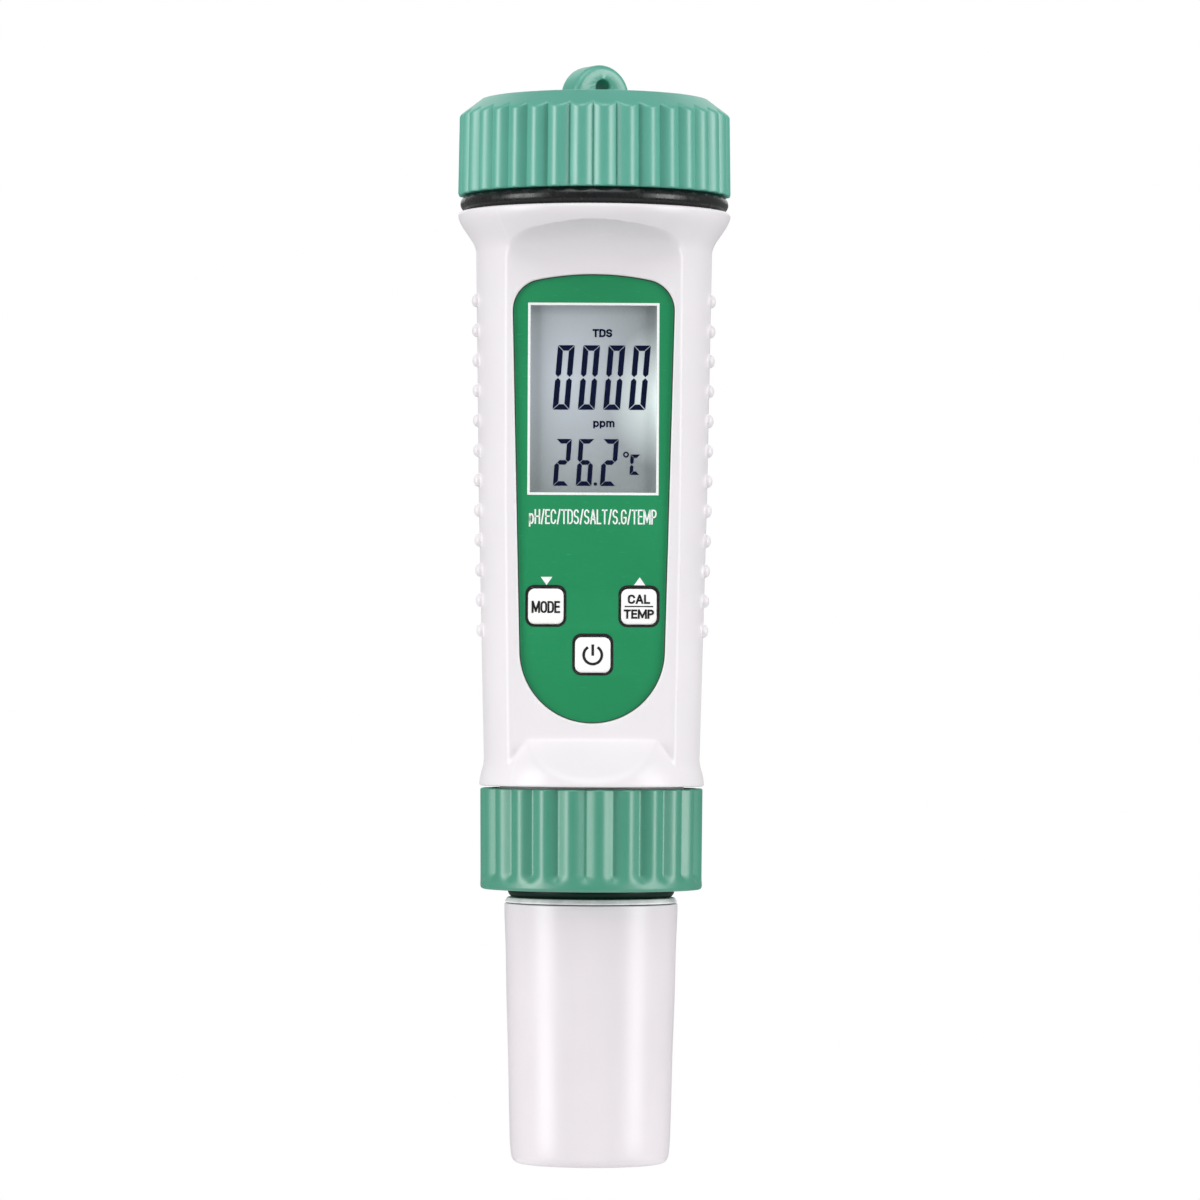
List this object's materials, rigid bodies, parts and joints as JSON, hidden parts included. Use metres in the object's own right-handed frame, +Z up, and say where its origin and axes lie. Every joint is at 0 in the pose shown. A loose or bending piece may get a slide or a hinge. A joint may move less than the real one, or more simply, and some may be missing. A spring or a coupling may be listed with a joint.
{
  "type": "digital water tester",
  "caption": "Pen-shaped pocket water tester with a display and keys, screw-on battery cap with lanyard lug, probe held by a ring nut, and a push-on storage cap.",
  "frame": {"origin": "centre of the storage cap's flat base, on the pen's axis, where the upright tester stands", "axes": "+Z up along the pen to the lanyard lug, -Y out of the display face, +X to the right of someone reading the display"},
  "size_m": [0.0448, 0.0448, 0.1798],
  "materials": {
    "white_shell": "white ABS, satin mould finish",
    "white_cap": "white polypropylene, satin, slightly translucent",
    "white_key": "white, fine matte, with printed legends",
    "green_grip": "sea-green ABS, satin",
    "green_probe": "dark green ABS, matte",
    "green_label": "green printed polyester overlay, fine satin",
    "clear_window": "clear acrylic, polished",
    "display_glass": "grey liquid-crystal glass with reflective film",
    "light_guide": "clear acrylic with a diffusing back",
    "black_plastic": "black moulded plastic",
    "black_rubber": "black silicone rubber",
    "pale_silicone": "pale grey silicone",
    "circuit_board": "green solder mask on glass-fibre board",
    "steel": "stainless steel, satin",
    "nickel_contact": "nickel-plated spring bronze",
    "electrode_glass": "thin clear glass",
    "white_ceramic": "porous white ceramic",
    "sponge": "yellow open-cell foam"
  },
  "bodies": {
    "housing": {"body_shell": "white_shell", "front_label": "green_label", "display_window": "clear_window", "lcd_front_glass": "display_glass", "lcd_rear_glass": "display_glass", "lcd_light_guide": "light_guide", "lcd_bezel": "black_plastic", "upper_contact_strip": "black_rubber", "lower_contact_strip": "black_rubber", "keypad_mat": "black_rubber", "circuit_board": "circuit_board", "board_carrier": "black_plastic", "upper_board_screw": "steel", "lower_board_screw": "steel", "controller_chip": "black_plastic", "memory_chip": "black_plastic", "mode_switch": "black_plastic", "cal_switch": "black_plastic", "power_switch": "black_plastic", "cap_oring": "black_rubber", "battery_tray": "black_plastic", "button_cell_1": "steel", "button_cell_2": "steel", "button_cell_3": "steel", "button_cell_4": "steel", "rear_cell_link": "nickel_contact", "left_cell_terminal": "nickel_contact", "right_cell_terminal": "nickel_contact", "probe_socket": "black_plastic"},
    "mode_button": {"mode_key": "white_key", "mode_switch_plunger": "nickel_contact"},
    "cal_button": {"cal_key": "white_key", "cal_switch_plunger": "nickel_contact"},
    "power_button": {"power_key": "white_key", "power_switch_plunger": "nickel_contact"},
    "cap_carrier": {"contact_disc": "black_plastic", "left_cap_contact": "nickel_contact", "right_cap_contact": "nickel_contact", "swivel_screw": "steel"},
    "cap": {"battery_cap": "green_grip"},
    "probe": {"probe_body": "green_probe", "probe_board": "circuit_board", "probe_bore_oring": "black_rubber", "probe_cap_oring": "black_rubber", "seal_ring": "pale_silicone", "glass_electrode": "electrode_glass", "electrode_wire": "nickel_contact", "left_conductivity_pin": "steel", "right_conductivity_pin": "steel", "temperature_sensor": "steel", "reference_junction": "white_ceramic", "electrode_guard": "white_shell"},
    "ring_nut": {"collar": "green_grip"},
    "storage_cap": {"sensor_cap": "white_cap", "storage_sponge": "sponge"}
  },
  "joints": [
    {"name": "cap_lift", "type": "slide", "parent": "housing", "child": "cap_carrier", "axis": [0, 0, 1], "range_m": [0, 0.0045]},
    {"name": "cap_turn", "type": "hinge", "parent": "cap_carrier", "child": "cap", "pos_m": [0, 0, 0.165], "axis": [0, 0, 1], "range_deg": [0, 540]},
    {"name": "probe_draw", "type": "slide", "parent": "housing", "child": "probe", "axis": [0, 0, -1], "range_m": [0, 0.00375]},
    {"name": "collar_turn", "type": "hinge", "parent": "probe", "child": "ring_nut", "pos_m": [0, 0, 0.053], "axis": [0, 0, -1], "range_deg": [0, 540]},
    {"name": "storage_cap_pull", "type": "slide", "parent": "probe", "child": "storage_cap", "axis": [0, 0, -1], "range_m": [0, 0.045]},
    {"name": "mode_press", "type": "slide", "parent": "housing", "child": "mode_button", "axis": [0, 0.9998, 0.0211], "range_m": [0, 0.0004], "stiffness_N_per_m": 300},
    {"name": "cal_press", "type": "slide", "parent": "housing", "child": "cal_button", "axis": [0, 0.9998, 0.0211], "range_m": [0, 0.0004], "stiffness_N_per_m": 300},
    {"name": "power_press", "type": "slide", "parent": "housing", "child": "power_button", "axis": [0, 0.9998, 0.0211], "range_m": [0, 0.0004], "stiffness_N_per_m": 300}
  ],
  "couplings": [
    {"joint": "cap_turn", "follows": "cap_lift", "rad_per_m": 2094.4},
    {"joint": "collar_turn", "follows": "probe_draw", "rad_per_m": 2513.3}
  ]
}
